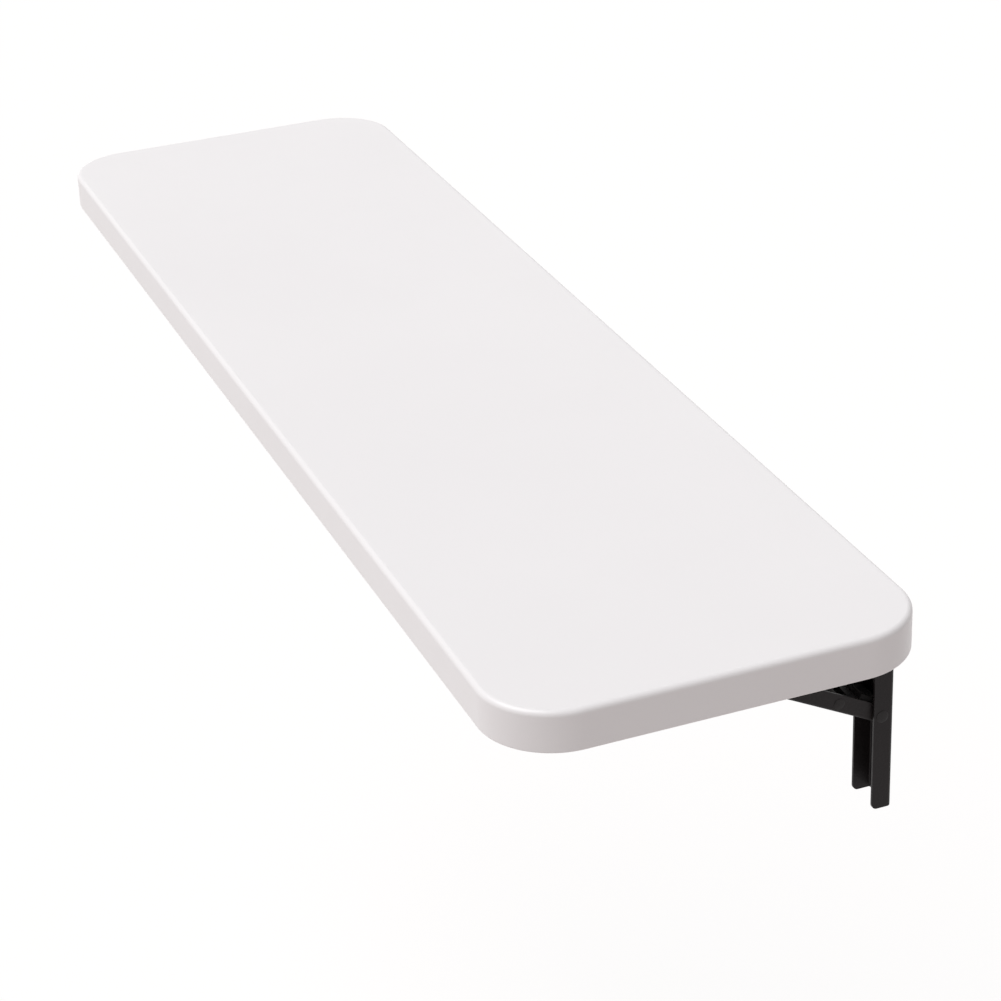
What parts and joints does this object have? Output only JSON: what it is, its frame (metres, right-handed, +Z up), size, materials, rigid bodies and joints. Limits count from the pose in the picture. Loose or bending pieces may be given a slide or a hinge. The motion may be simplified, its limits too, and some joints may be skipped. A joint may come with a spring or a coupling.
{
  "type": "wall-mounted folding table",
  "caption": "Wall-mounted folding table: a white board with rounded corners on folding black steel brackets that drop it flat against the wall.",
  "frame": {"origin": "middle of the four outer wall holes, on the wall plane", "axes": "+X along the board to the right for someone who faces the wall, +Y into the wall, +Z up"},
  "size_m": [1.1, 0.3015, 0.176],
  "materials": {
    "white_laminate": "satin white moulded skin",
    "core_board": "raw fibreboard",
    "backing_sheet": "matt pale grey backing",
    "black_steel": "satin black powder coat",
    "black_rivet": "black painted steel",
    "pin_steel": "bright turned steel",
    "screw_zinc": "zinc plate",
    "nylon": "natural nylon",
    "black_plastic": "fine-textured black moulding"
  },
  "bodies": {
    "wall_legs": {"wall_leg_right": "black_steel", "hinge_pin_right": "pin_steel", "brace_pin_right": "black_rivet", "hinge_washers_right": "nylon", "brace_washers_right": "nylon", "wall_leg_left": "black_steel", "hinge_pin_left": "pin_steel", "brace_pin_left": "black_rivet", "hinge_washers_left": "nylon", "brace_washers_left": "nylon"},
    "tabletop": {"board_core": "core_board", "board_shell": "white_laminate", "board_backer": "backing_sheet", "arm_right": "black_steel", "arm_end_cap_right": "black_plastic", "board_screws_right": "screw_zinc", "arm_left": "black_steel", "arm_end_cap_left": "black_plastic", "board_screws_left": "screw_zinc"},
    "brace_right_link": {"brace_right": "black_steel", "slide_pin_right": "pin_steel", "slide_rollers_right": "nylon", "spacer_rivet_right": "black_rivet", "spacer_tube_right": "black_rivet", "brace_buffer_right": "black_plastic"},
    "brace_left_link": {"brace_left": "black_steel", "slide_pin_left": "pin_steel", "slide_rollers_left": "nylon", "spacer_rivet_left": "black_rivet", "spacer_tube_left": "black_rivet", "brace_buffer_left": "black_plastic"}
  },
  "joints": [
    {"name": "table_fold", "type": "hinge", "parent": "wall_legs", "child": "tabletop", "pos_m": [0, -0.0088, 0.065], "axis": [1, 0, 0], "range_deg": [0, 90]},
    {"name": "brace_swing_right", "type": "hinge", "parent": "wall_legs", "child": "brace_right_link", "pos_m": [0.4745, -0.0088, 0.0045], "axis": [1, 0, 0], "range_deg": [0, 117.5]},
    {"name": "brace_swing_left", "type": "hinge", "parent": "wall_legs", "child": "brace_left_link", "pos_m": [-0.4745, -0.0088, 0.0045], "axis": [1, 0, 0], "range_deg": [0, 117.5]}
  ],
  "couplings": [
    {"joint": "brace_swing_right", "follows": "table_fold", "ratio": 1.3056},
    {"joint": "brace_swing_left", "follows": "table_fold", "ratio": 1.3056}
  ]
}
